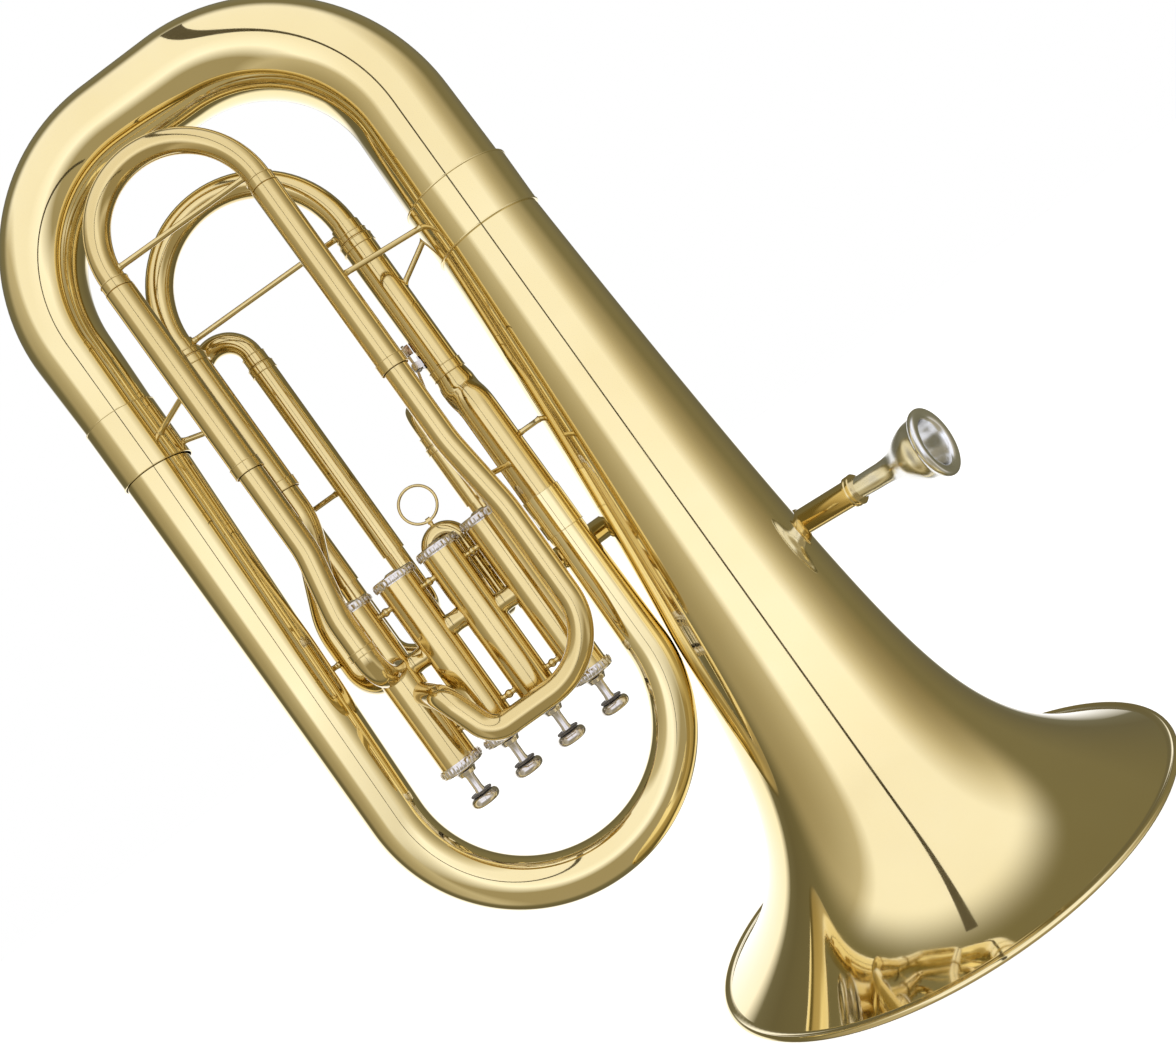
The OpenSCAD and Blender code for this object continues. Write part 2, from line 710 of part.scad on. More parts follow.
module valve_stem(n) {
    color(nickel) at_valve(n) translate([0, 0, button_end - 3])
        cylinder(h = piston_top - button_end + 3, r = stem_r);
}

// A round finger button with a rolled edge and a shallow dish on top
module valve_button(n) {
    edge = 3.1;
    color(nickel) at_valve(n) difference() {
        rotate_extrude() union() {
            translate([0, button_top + 1]) square([button_r - edge, button_end - button_top - 1]);
            translate([button_r - edge, button_end - edge - 0.4]) circle(r = edge, $fn = 32);
            translate([0, button_top + 1]) square([button_r - edge, 1]);
        }
        translate([0, 0, button_end - 3]) cylinder(h = 10, r = stem_r);
    }
}

module valve_felt(n) {
    color(felt_brown) at_valve(n) translate([0, 0, button_end]) tube(felt_h, 6.5, 6.5 - stem_r);
}

module valve_top_caps() {
    color(nickel) for (n = [1 : 4]) at_valve(n) difference() {
        union() {
            translate([0, 0, casing_top - 5.5]) cylinder(h = 5.5, r = cap_r);
            translate([0, 0, casing_top - 2.2]) cylinder(h = 1.2, r = cap_r + 0.4);
            translate([0, 0, collar_top]) cylinder(h = casing_top - 5.5 - collar_top, r1 = 5.2, r2 = 8.6);
            translate([0, 0, casing_top]) cylinder(h = 3, r = casing_bore);
        }
        translate([0, 0, casing_top - 2]) cylinder(h = 8, r = casing_bore - 1.4);
        translate([0, 0, collar_top - 1]) cylinder(h = 20, r = stem_r + fit);
    }
}

module valve_bottom_caps() {
    color(nickel) for (n = [1 : 4]) at_valve(n) difference() {
        union() {
            translate([0, 0, casing_end]) cylinder(h = 5, r = cap_r);
            translate([0, 0, casing_end + 2]) cylinder(h = 1.2, r = cap_r + 0.4);
            translate([0, 0, casing_end + 5]) cylinder(h = 1.5, r1 = 5, r2 = 3.4);
        }
        translate([0, 0, casing_end - 1]) cylinder(h = cap_seat - casing_end + 1, r = 9.4);
    }
}

// Compression spring under the piston
module valve_spring(n) {
    spring_r = 7.4;
    wire = 0.45;
    turns = 5;
    sides = 5;
    around = 9;
    count = turns * around;
    rise = cap_seat - piston_end - 2 * wire - 0.2;
    function centre(i) = [spring_r * cos(360 * i / around), spring_r * sin(360 * i / around),
                          piston_end + wire + 0.1 + rise * i / count];
    function corner(i, k) = let (a = 360 * i / around, b = 360 * k / sides)
        centre(i) + wire * [cos(a) * cos(b), sin(a) * cos(b), sin(b)];
    points = [for (i = [0 : count]) for (k = [0 : sides - 1]) corner(i, k)];
    skin = [for (i = [0 : count - 1]) for (k = [0 : sides - 1]) let (m = (k + 1) % sides) each [
        [i * sides + k, (i + 1) * sides + m, i * sides + m],
        [i * sides + k, (i + 1) * sides + k, (i + 1) * sides + m]]];
    caps = [[for (k = [0 : sides - 1]) k], [for (k = [sides - 1 : -1 : 0]) count * sides + k]];
    color(silver) at_valve(n) polyhedron(points, concat(skin, caps));
}

// Short tubes between neighbouring casings, and the small studs above and below them
module valve_knuckles() {
    color(brass) difference() {
        union() {
            for (n = [1 : 3]) translate([valve_x(n), 0, knuckle_z[n - 1]]) rotate([0, -90, 0])
                tube(valve_pitch, knuckle_r, knuckle_r - port_r);
            for (n = [1 : 3]) for (z = [209, 284]) translate([valve_x(n), 0, z]) rotate([0, -90, 0]) {
                cylinder(h = valve_pitch, r = 1.6);
                translate([0, 0, valve_pitch / 2 - 1.1]) cylinder(h = 2.2, r = 2.5);
            }
        }
        for (n = [1 : 4]) at_valve(n) translate([0, 0, casing_top]) cylinder(h = 100, r = casing_r);
    }
}

// ---- Stays ----
// A point on a vertical tube's wall, sunk a little into it, facing another point
function wall_point(centre, towards, r) =
    centre + (r - sink) * unit([towards[0] - centre[0], towards[1] - centre[1], 0]);

// A stay between two vertical tubes, from centre a with radius a_r to centre b, coped to both
module wall_stay(a, a_r, b, b_r) {
    reach = 12;
    difference() {
        stay(wall_point(a, b, a_r), wall_point(b, a, b_r), stay_r);
        for (end = [[a, a_r], [b, b_r]])
            translate(end[0] - [0, 0, reach]) cylinder(h = 2 * reach, r = end[1] + solder_gap);
    }
}

// Stays that hold the bell to the branch and the slides
module bell_stays() {
    ferrule_r = bell_r(bell_ferrule_z) + ferrule_seat + ferrule_lip;
    color(brass) {
        wall_stay([bell_x, 0, 321], bell_r(318), [branch_x, 0, 321], branch_r(318));
        wall_stay([bell_x, 0, 438], ferrule_r, [main_left_x, main_y, 425], main_sleeve_r);
        wall_stay([bell_x, 0, 440], ferrule_r, [fourth_left_x, fourth_y, 438], fourth_sleeve_r);
    }
}

// Stays between the slides, the branch and the large tube beside them
module slide_stays() {
    color(brass) {
        wall_stay([branch_x, 0, 310], branch_r(307), [fourth_front_x - 2, fourth_y, 310],
            fourth_tube_r + 0.25);
        wall_stay([fourth_right_x, fourth_y, 436], fourth_sleeve_r, [bow_right_x, 0, 432],
            bow_ferrule_bore + bow_ferrule_lip);
        wall_stay([main_right_x, main_y, 420], main_sleeve_r, [bow_right_x, 0, 425],
            bow_ferrule_bore + bow_ferrule_lip);
        wall_stay([main_port[0], main_port[1], 276], main_tube_r, [bow_right_x - 2.7, 0, 276], 17.15);
    }
}

bell();
bell_ferrule();
bottom_bow();
bow_ferrule();
upper_bow();
branch_ferrule();
small_branch();
leadpipe();
mouthpiece_receiver();
mouthpiece();
main_slide_sleeves();
main_slide_bow();
water_key_saddle();
water_key_pin();
water_key_lever();
water_key_cork();
water_key_spring();
first_slide_sleeves();
first_slide_bow();
second_slide_sleeves();
second_slide_bow();
second_slide_ring();
third_slide_sleeves();
third_slide_bow();
fourth_valve_tubing();
fourth_slide_bow();
valve_casing(1);  // valve_1_casing
valve_casing(2);  // valve_2_casing
valve_casing(3);  // valve_3_casing
valve_casing(4);  // valve_4_casing
valve_knuckles();
valve_top_caps();
valve_bottom_caps();
valve_piston(1);  // valve_1_piston
valve_piston(2);  // valve_2_piston
valve_piston(3);  // valve_3_piston
valve_piston(4);  // valve_4_piston
valve_stem(1);  // valve_1_stem
valve_stem(2);  // valve_2_stem
valve_stem(3);  // valve_3_stem
valve_stem(4);  // valve_4_stem
valve_button(1);  // valve_1_button
valve_button(2);  // valve_2_button
valve_button(3);  // valve_3_button
valve_button(4);  // valve_4_button
valve_felt(1);  // valve_1_felt
valve_felt(2);  // valve_2_felt
valve_felt(3);  // valve_3_felt
valve_felt(4);  // valve_4_felt
valve_spring(1);  // valve_1_spring
valve_spring(2);  // valve_2_spring
valve_spring(3);  // valve_3_spring
valve_spring(4);  // valve_4_spring
bell_stays();
slide_stays();
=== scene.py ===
import json
import math

import bpy
from mathutils import Matrix, Vector


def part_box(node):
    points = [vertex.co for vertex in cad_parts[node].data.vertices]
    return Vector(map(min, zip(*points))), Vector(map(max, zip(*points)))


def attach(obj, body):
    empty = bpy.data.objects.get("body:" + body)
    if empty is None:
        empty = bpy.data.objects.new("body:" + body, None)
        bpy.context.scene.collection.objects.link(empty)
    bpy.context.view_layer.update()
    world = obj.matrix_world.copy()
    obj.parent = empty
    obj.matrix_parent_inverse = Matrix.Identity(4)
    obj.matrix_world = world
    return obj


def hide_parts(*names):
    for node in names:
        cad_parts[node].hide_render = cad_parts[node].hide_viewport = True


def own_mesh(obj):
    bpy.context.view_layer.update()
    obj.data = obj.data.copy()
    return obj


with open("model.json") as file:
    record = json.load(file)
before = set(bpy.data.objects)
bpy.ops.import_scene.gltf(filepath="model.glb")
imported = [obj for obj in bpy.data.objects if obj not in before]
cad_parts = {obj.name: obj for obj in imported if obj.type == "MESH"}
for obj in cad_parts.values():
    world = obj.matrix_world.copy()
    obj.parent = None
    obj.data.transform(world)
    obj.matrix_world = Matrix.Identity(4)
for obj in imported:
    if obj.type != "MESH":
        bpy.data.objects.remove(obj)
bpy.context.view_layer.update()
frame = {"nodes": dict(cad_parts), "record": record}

# Four-valve tenor tuba (euphonium), standing on its bell. The lengths below are in millimetres,
# as in the CAD model, and MM turns them into Blender's metres.
MM = 0.001
NODES = frame["nodes"]
BODY_OF = {node: body for body, nodes in frame["record"]["behaviour"]["bodies"].items() for node in nodes}
SLOT_OF = {part["node"]: part["material_slot"] for part in frame["record"]["subparts"]}


def middle(node):
    """Centre of a CAD node's box, in millimetres."""
    low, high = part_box(node)
    return (Vector(low) + Vector(high)) / 2 / MM


def low(node):
    return Vector(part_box(node)[0]) / MM


def high(node):
    return Vector(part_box(node)[1]) / MM


# ---- Dimensions shared with the CAD model ----
LARGE_WALL = 0.9
SMALL_WALL = 0.9
FIT = 0.05
SOLDER_GAP = 0.02
STAY_R = 1.6
FERRULE_SEAT = 0.05
BAND_BEAD = 0.6         # a ferrule's end bead stands out by this share of its thickness

BELL_X = middle("bell").x
RIM_R = (high("bell").x - low("bell").x) / 2
RIM_BEAD_R = 1.5
BELL_HEIGHT = high("bell").z
BELL_END_R = 30.3
BELL_TAPER = 0.047
BELL_SWELL = 7.8e-5
FLARE_LENGTH = 34
FLARE_R = RIM_R - BELL_END_R - BELL_TAPER * BELL_HEIGHT - BELL_SWELL * BELL_HEIGHT**2

BOW_RIGHT_X = middle("bow_ferrule").x
BOW_BOTTOM_Z = 586.2
BOW_BEND_R = 89.5
BOW_END_R = 19.4

UPPER_X = -91.55
UPPER_Z = 188.75
UPPER_BEND_R = 83.05
UPPER_LEAN = math.radians(0.98)
UPPER_START_R = 19.3
UPPER_END_R = 10.9
BRANCH_X = UPPER_X + UPPER_BEND_R
BRANCH_Z = 276
NARROW_R = 10.5
STEP_Z = 342


class Slide:
    """One slide: two sleeves, the legs that run in them and the bow that joins the legs."""

    def __init__(self, first, second, sleeve_r, top, end, bow_z):
        self.feet = [first, second]
        self.sleeve_r = sleeve_r
        self.leg_r = sleeve_r - SMALL_WALL - FIT
        self.tube_r = sleeve_r - SMALL_WALL - SOLDER_GAP
        self.top, self.end, self.bow_z = top, end, bow_z

    def at(self, side, z):
        return (*self.feet[side], z)


MAIN = Slide((-10.5, 7), (-122.95, 7), 9.4, 372, 460, 470)
FOURTH = Slide((-31.2, -34.5), (-123.3, -34.5), 7.9, 384, 497, 503.6)
THIRD = Slide((-95.7, 27), (-127.55, 27), 7.2, 310, 440, 447.6)
SECOND = Slide((-59.55, 27), (-78.55, 27), 6.6, 268, 291, 295)
FIRST = Slide((-39.85, 21.5), (-39.85, 47.5), 7.2, 306, 345, 355)
MAIN_BOW_R = MAIN.leg_r - SMALL_WALL
MAIN_PORT = (-147.85, 16, 256)
FOURTH_FRONT_X = -26.4
FOURTH_BACK_X = -130.4
FOURTH_TOP_Z = 199.4

VALVE_X = [middle(f"valve_{n}_casing").x for n in (1, 2, 3, 4)]
VALVE_4 = Vector((VALVE_X[3], 0, 0))
CASING_R = 11.25
CASING_BORE = 10.3
CASING_SEAT = 10.8      # tubes end here, inside the casing's wall
COPE_TOP = 300          # above this, tubes pass the casings untrimmed
KNUCKLE_Z = (251.7, 258, 252.3)
KNUCKLE_R = 6
PORT_R = 5.2
STEM_R = 3
CAP_R = 12.75
CAP_BEAD = 0.4
RING_R = 11
RING_WIRE_R = 0.9
RING_PIVOT = Vector((-69.05, 27, 313.1))

RIM_CENTRE = Vector((175.6, -32.5, 189))
MOUTH_DIR = Vector((-0.766, 0.643, 0))
RECEIVER_START = 54
RECEIVER_LENGTH = 46
LEAD_R = 6
LEAD_WIDE_R = 6.9

FRONT = Vector((0, 1, 0))
UP = Vector((0, 0, 1))


# ---- Shapes: each returns (points, faces), with its points in millimetres ----
def route(points, bends=(), step=4.0):
    """(point, direction) stations along a line through points, with a bend radius at each inner one."""
    points = [Vector(p) for p in points]
    dirs = [(b - a).normalized() for a, b in zip(points, points[1:])]
    stations = [(points[0], dirs[0])]
    for i, bend_r in enumerate(bends, start=1):
        before, after = dirs[i - 1], dirs[i]
        turn = before.angle(after)
        start = points[i] - before * bend_r * math.tan(turn / 2)
        inward = (after - before * after.dot(before)).normalized()
        count = max(3, math.ceil(math.degrees(turn) / step))
        for k in range(count + 1):
            t = turn * k / count
            place = start + bend_r * (before * math.sin(t) + inward * (1 - math.cos(t)))
            stations.append((place, before * math.cos(t) + inward * math.sin(t)))
    stations.append((points[-1], dirs[-1]))
    spaced = stations[:1]
    for station in stations[1:]:
        if (station[0] - spaced[-1][0]).length > 1e-3:
            spaced.append(station)
    return spaced


def gone(stations):
    """Distance along the route at each station."""
    total = [0.0]
    for (a, _), (b, _) in zip(stations, stations[1:]):
        total.append(total[-1] + (b - a).length)
    return total


def swept(stations, radii, wall, sides=36):
    """A hollow round tube along a route, closed at both ends by its wall."""
    side = FRONT if abs(stations[0][1].dot(FRONT)) < 0.9 else UP
    points = []
    for (place, direction), r in zip(stations, radii):
        side = (side - direction * side.dot(direction)).normalized()
        across = direction.cross(side)
        for radius in (r, r - wall):
            for k in range(sides):
                a = math.tau * k / sides
                points.append(place + radius * (side * math.cos(a) + across * math.sin(a)))
    last = len(stations) - 1

    def at(i, layer, k):
        return (i * 2 + layer) * sides + k % sides

    faces = []
    for k in range(sides):
        for i in range(last):
            faces.append((at(i, 0, k), at(i, 0, k + 1), at(i + 1, 0, k + 1), at(i + 1, 0, k)))
            faces.append((at(i, 1, k + 1), at(i, 1, k), at(i + 1, 1, k), at(i + 1, 1, k + 1)))
        faces.append((at(0, 0, k + 1), at(0, 0, k), at(0, 1, k), at(0, 1, k + 1)))
        faces.append((at(last, 0, k), at(last, 0, k + 1), at(last, 1, k + 1), at(last, 1, k)))
    return points, faces


def pipe(points, bends, r, wall=SMALL_WALL, sides=36):
    """A tube of one radius through points, with bends."""
    stations = route(points, bends)
    return swept(stations, [r] * len(stations), wall, sides)


def turned(outline, place=(0, 0, 0), axis=UP, steps=48):
    """A closed outline of (radius, height) points turned round an axis."""
    axis = Vector(axis).normalized()
    side = (FRONT if abs(axis.dot(FRONT)) < 0.9 else UP).cross(axis).normalized()
    across = axis.cross(side)
    place = Vector(place)
    points, rings = [], []
    for r, h in outline:
        on_axis = r < 1e-6
        rings.append([len(points) + (0 if on_axis else k) for k in range(steps)])
        for k in range(1 if on_axis else steps):
            a = math.tau * k / steps
            points.append(place + axis * h + r * (side * math.cos(a) + across * math.sin(a)))
    faces = []
    for first, second in zip(rings, rings[1:] + rings[:1]):
        for k in range(steps):
            m = (k + 1) % steps
            corners = tuple(dict.fromkeys((first[k], first[m], second[m], second[k])))
            if len(corners) > 2:
                faces.append(corners)
    return points, faces


def band(a, b, bore_start, bore_end, lip, steps=48):
    """A ferrule from a to b: a thin sleeve with a rounded bead at each end."""
    a, b = Vector(a), Vector(b)
    length = (b - a).length
    bead = lip * BAND_BEAD
    half = bead * 1.1

    def bore(h):
        return bore_start + (bore_end - bore_start) * h / length

    outline = [(bore(0), 0), (bore(length), length)]
    for centre in (length - half, half):
        for degrees in (90, 60, 30, 0, -30, -60, -90):
            t = math.radians(degrees)
            height = centre + half * math.sin(t)
            outline.append((bore(height) + lip + bead * math.cos(t), height))
    return turned(outline, a, b - a, steps)


def coped(shape, axis, r, direction, top=math.inf):
    """Pushes what lies inside an upright tube, up to top, out along direction, to follow its wall."""
    points, faces = shape
    d = Vector((direction[0], direction[1])).normalized()
    moved = []
    for p in points:
        p = Vector(p)
        rel = Vector((p.x - axis[0], p.y - axis[1]))
        if p.z < top and rel.length < r:
            b = rel.dot(d)
            t = -b + math.sqrt(b * b + r * r - rel.length_squared)
            p = p + Vector((d.x * t, d.y * t, 0))
        moved.append(p)
    return moved, faces


def stay(a, b):
    """A thin soldered stay whose ends flare into small round feet."""
    a, b = Vector(a), Vector(b)
    length = (b - a).length
    foot, flare = 1.5, 3.8
    rise = [(STAY_R + foot * (1 - math.sin(t)), flare * (1 - math.cos(t)))
            for t in (math.radians(15 * i) for i in range(7))]
    outline = [(0, 0), *rise, *[(r, length - h) for r, h in reversed(rise)], (0, length)]
    return turned(outline, a, b - a, 24)


def wall_stay(a, a_r, b, b_r):
    """A stay between the walls of two upright tubes, from centre a to centre b."""
    a, b = Vector(a), Vector(b)
    deep, skin = 1.2, 0.1
    level = Vector((b.x - a.x, b.y - a.y, 0)).normalized()
    shape = stay(a + level * (a_r - deep), b - level * (b_r - deep))
    shape = coped(shape, a, a_r - skin, level)
    return coped(shape, b, b_r - skin, -level)


def sleeve(slide, side):
    return pipe([slide.at(side, slide.top), slide.at(side, slide.end)], [], slide.sleeve_r)


def slide_bow(slide, bow_r, start_z):
    """The U that joins a slide's two legs."""
    half = math.dist(*slide.feet) / 2
    crown = slide.bow_z + half
    return pipe([slide.at(0, start_z), slide.at(0, crown), slide.at(1, crown), slide.at(1, start_z)],
                [half, half], bow_r, sides=40)


def slide_band(slide, side, start, end, r, lip):
    """A ferrule round one side of a slide, between two heights."""
    return band(slide.at(side, start), slide.at(side, end), r, r, lip)


def leg(slide, side, depth):
    return pipe([slide.at(side, slide.top + depth), slide.at(side, slide.bow_z)], [], slide.leg_r)


def smooth(points, count=5):
    """A curve through the points (Catmull-Rom), with count steps between neighbours."""
    padded = [points[0], *points, points[-1]]
    curve = []
    for p0, p1, p2, p3 in zip(padded, padded[1:], padded[2:], padded[3:]):
        for k in range(count):
            t = k / count
            curve.append(tuple(
                0.5 * (2 * b + (c - a) * t + (2 * a - 5 * b + 4 * c - d) * t * t
                       + (3 * b - a - 3 * c + d) * t**3)
                for a, b, c, d in zip(p0, p1, p2, p3)))
    curve.append(points[-1])
    return curve


def piece(name, node, *shapes, smooth_below=35):
    """One mesh of several shapes that stands for a CAD node, with that node's body and finish."""
    points, faces = [], []
    for shape_points, shape_faces in shapes:
        start = len(points)
        points += [Vector(p) * MM for p in shape_points]
        faces += [tuple(start + k for k in face) for face in shape_faces]
    mesh = bpy.data.meshes.new(name)
    mesh.from_pydata(points, [], faces)
    mesh.materials.append(finish(node))
    mesh.shade_smooth()
    mesh.set_sharp_from_angle(angle=math.radians(smooth_below))
    made = bpy.data.objects.new(name, mesh)
    bpy.context.scene.collection.objects.link(made)
    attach(made, BODY_OF[node])
    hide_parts(node)


# ---- Materials ----
def shader(name):
    material = bpy.data.materials.new(name)
    material.use_nodes = True
    nodes = material.node_tree.nodes
    return material, nodes, material.node_tree.links, nodes["Principled BSDF"]


def noise(nodes, links, scale, detail, stretch=(1, 1, 1)):
    """A noise texture in the object's own coordinates, in metres."""
    place = nodes.new("ShaderNodeTexCoord")
    mapping = nodes.new("ShaderNodeMapping")
    mapping.inputs["Scale"].default_value = stretch
    texture = nodes.new("ShaderNodeTexNoise")
    texture.inputs["Scale"].default_value = scale
    texture.inputs["Detail"].default_value = detail
    links.new(place.outputs["Object"], mapping.inputs["Vector"])
    links.new(mapping.outputs["Vector"], texture.inputs["Vector"])
    return texture.outputs["Fac"]


def ramp(nodes, links, source, stops):
    """A colour ramp from (position, colour) stops."""
    node = nodes.new("ShaderNodeValToRGB")
    elements = node.color_ramp.elements
    while len(elements) < len(stops):
        elements.new(0.5)
    for element, (position, colour) in zip(elements, stops):
        element.position = position
        element.color = (*colour, 1)
    links.new(source, node.inputs["Fac"])
    return node.outputs["Color"]


def spread(nodes, links, source, least, most):
    """A noise value, from 0.3 to 0.7, mapped to the range least to most."""
    node = nodes.new("ShaderNodeMapRange")
    node.inputs["From Min"].default_value = 0.3
    node.inputs["From Max"].default_value = 0.7
    node.inputs["To Min"].default_value = least
    node.inputs["To Max"].default_value = most
    links.new(source, node.inputs["Value"])
    return node.outputs["Result"]


def bumped(nodes, links, bsdf, source, distance, strength):
    node = nodes.new("ShaderNodeBump")
    node.inputs["Distance"].default_value = distance
    node.inputs["Strength"].default_value = strength
    links.new(source, node.inputs["Height"])
    links.new(node.outputs["Normal"], bsdf.inputs["Normal"])


def metal(name, light, dark, roughness, waviness=0.05):
    """Polished metal whose tone and gloss drift a little, as buffing leaves them."""
    material, nodes, links, bsdf = shader(name)
    bsdf.inputs["Metallic"].default_value = 1.0
    tone = noise(nodes, links, 14, 3)
    links.new(ramp(nodes, links, tone, [(0.35, dark), (0.65, light)]), bsdf.inputs["Base Color"])
    haze = noise(nodes, links, 60, 4)
    links.new(spread(nodes, links, haze, *roughness), bsdf.inputs["Roughness"])
    wave = noise(nodes, links, 9, 2)
    bumped(nodes, links, bsdf, wave, 0.0006, waviness)
    return material, bsdf


def lacquered_brass(name, light, dark, roughness):
    material, bsdf = metal(name, light, dark, roughness)
    bsdf.inputs["Coat Weight"].default_value = 1.0
    bsdf.inputs["Coat Roughness"].default_value = 0.02
    return material


def felt_material():
    material, nodes, links, bsdf = shader("felt")
    fibres = noise(nodes, links, 900, 6)
    links.new(ramp(nodes, links, fibres, [(0.3, (0.035, 0.028, 0.02)), (0.7, (0.12, 0.10, 0.075))]),
              bsdf.inputs["Base Color"])
    bsdf.inputs["Roughness"].default_value = 0.95
    bsdf.inputs["Sheen Weight"].default_value = 0.4
    bumped(nodes, links, bsdf, fibres, 0.0003, 0.8)
    return material


def cork_material():
    material, nodes, links, bsdf = shader("cork")
    grain = noise(nodes, links, 700, 5)
    links.new(ramp(nodes, links, grain, [(0.35, (0.16, 0.08, 0.03)), (0.6, (0.55, 0.36, 0.20))]),
              bsdf.inputs["Base Color"])
    bsdf.inputs["Roughness"].default_value = 0.85
    bumped(nodes, links, bsdf, grain, 0.0003, 0.6)
    return material


BRASS = lacquered_brass("lacquered_brass", (0.87, 0.735, 0.385), (0.84, 0.695, 0.345), (0.03, 0.06))
# Darker copy of the brass for the small tubing: its colour is painted shade, not a different metal.
SMALL_TUBE_SHADED_BRASS = lacquered_brass("small_tubing_brass_painted_shade", (0.72, 0.565, 0.245), (0.68, 0.53, 0.22), (0.07, 0.12))
NICKEL = metal("nickel_plate", (0.74, 0.70, 0.66), (0.66, 0.62, 0.58), (0.10, 0.18))[0]
SILVER = metal("silver_plate", (0.86, 0.86, 0.85), (0.79, 0.79, 0.78), (0.16, 0.26))[0]
STEEL = metal("spring_steel", (0.60, 0.60, 0.60), (0.48, 0.48, 0.48), (0.22, 0.32))[0]
FELT = felt_material()
CORK = cork_material()
LARGE_BRASS = {"bell", "bottom_bow", "upper_bow", "bell_ferrule", "bow_ferrule", "branch_ferrule"}
FINISHES = {"lacquered_brass": BRASS, "nickel_plate": NICKEL, "silver_plate": SILVER,
            "spring_steel": STEEL, "felt": FELT, "cork": CORK}


def finish(node):
    """The record's finish; the small tubing takes a darker, slightly rougher copy of the bell's brass, its
    darker colour being painted shade for the shade and brass-on-brass reflections it gets among the other
    parts.
    """
    if SLOT_OF[node] == "lacquered_brass" and node not in LARGE_BRASS:
        return SMALL_TUBE_SHADED_BRASS
    return FINISHES[SLOT_OF[node]]


def finish_nodes():
    """Every CAD node takes its finish."""
    for node in SLOT_OF:
        mesh = NODES[node].data
        mesh.materials.clear()
        mesh.materials.append(finish(node))
        for polygon in mesh.polygons:
            polygon.material_index = 0


# ---- Bell and large bows ----
def bell_r(z):
    h = BELL_HEIGHT - z
    return BELL_END_R + BELL_TAPER * h + BELL_SWELL * h * h + FLARE_R * math.exp(-z / FLARE_LENGTH)


def bell():
    steps = 110
    lip_z = 2.4
    heights = [lip_z + (BELL_HEIGHT - lip_z) * (i / steps) ** 1.8 for i in range(steps + 1)]
    bead = (RIM_R - RIM_BEAD_R, RIM_BEAD_R)
    rim = [(bead[0] + RIM_BEAD_R * math.cos(a), bead[1] + RIM_BEAD_R * math.sin(a))
           for a in (math.radians(130 - 15 * i) for i in range(20))]
    outline = [(bell_r(z), z) for z in reversed(heights)] + rim
    outline += [(bell_r(z) - LARGE_WALL, z) for z in heights]
    piece("bell_skin", "bell",
          turned(outline, (BELL_X, 0, 0), steps=160), smooth_below=50)


def bottom_bow():
    stations = route([(BELL_X, 0, BELL_HEIGHT), (BELL_X, 0, BOW_BOTTOM_Z),
                      (BOW_RIGHT_X, 0, BOW_BOTTOM_Z), (BOW_RIGHT_X, 0, BELL_HEIGHT)],
                     [BOW_BEND_R, BOW_BEND_R], step=2.5)
    far = gone(stations)
    radii = [BELL_END_R + (BOW_END_R - BELL_END_R) * d / far[-1] for d in far]
    piece("bottom_bow_skin", "bottom_bow",
          swept(stations, radii, LARGE_WALL, sides=72))


def upper_bow():
    centre = Vector((UPPER_X, 0, UPPER_Z))
    start = centre + UPPER_BEND_R * Vector((-math.cos(UPPER_LEAN), 0, math.sin(UPPER_LEAN)))
    down = Vector((-math.sin(UPPER_LEAN), 0, -math.cos(UPPER_LEAN)))
    stations = [(start - down * (BELL_HEIGHT - start.z) / math.cos(UPPER_LEAN), down)]
    turns = 96
    for k in range(turns + 1):
        a = UPPER_LEAN - (math.pi + UPPER_LEAN) * k / turns
        place = centre + UPPER_BEND_R * Vector((-math.cos(a), 0, math.sin(a)))
        stations.append((place, Vector((-math.sin(a), 0, -math.cos(a)))))
    stations.append((Vector((BRANCH_X, 0, BRANCH_Z)), UP.copy()))
    far = gone(stations)
    radii = [UPPER_START_R + (UPPER_END_R - UPPER_START_R) * d / far[-1] for d in far]
    piece("upper_bow_skin", "upper_bow",
          swept(stations, radii, LARGE_WALL, sides=64))


def large_ferrules():
    start, end = low("bell_ferrule").z, high("bell_ferrule").z
    bore, lip = bell_r(start) + FERRULE_SEAT, 0.8
    piece("bell_ferrule_ring", "bell_ferrule",
          band((BELL_X, 0, start), (BELL_X, 0, end), bore, bore, lip, 96))
    start, end = low("bow_ferrule").z, high("bow_ferrule").z
    bore, lip = 19.95, 0.5
    piece("bow_ferrule_ring", "bow_ferrule",
          band((BOW_RIGHT_X, 0, start), (BOW_RIGHT_X, 0, end), bore, bore, lip, 72))
    start, end = low("branch_ferrule").z, high("branch_ferrule").z
    bore, lip = UPPER_END_R + 0.25, 0.4
    piece("branch_ferrule_ring", "branch_ferrule",
          band((BRANCH_X, 0, start), (BRANCH_X, 0, end), bore, bore, lip))


def branch_r(z):
    return UPPER_END_R + (NARROW_R - UPPER_END_R) * (z - BRANCH_Z) / (STEP_Z - BRANCH_Z)


def small_branch():
    cone_z = 364
    end_z = MAIN.top - 2
    stations = route([(BRANCH_X, 0, BRANCH_Z), (BRANCH_X, 0, STEP_Z + 6), MAIN.at(0, cone_z - 6),
                      MAIN.at(0, cone_z), MAIN.at(0, end_z)], [14, 14, 1])
    radii = []
    for place, _ in stations:
        if place.z < STEP_Z:
            radii.append(branch_r(place.z))
        else:
            t = max(0.0, (place.z - cone_z) / (end_z - cone_z))
            radii.append(NARROW_R + (MAIN.sleeve_r - NARROW_R) * t)
    piece("small_branch_tube", "small_branch",
          swept(stations, radii, LARGE_WALL, 44))


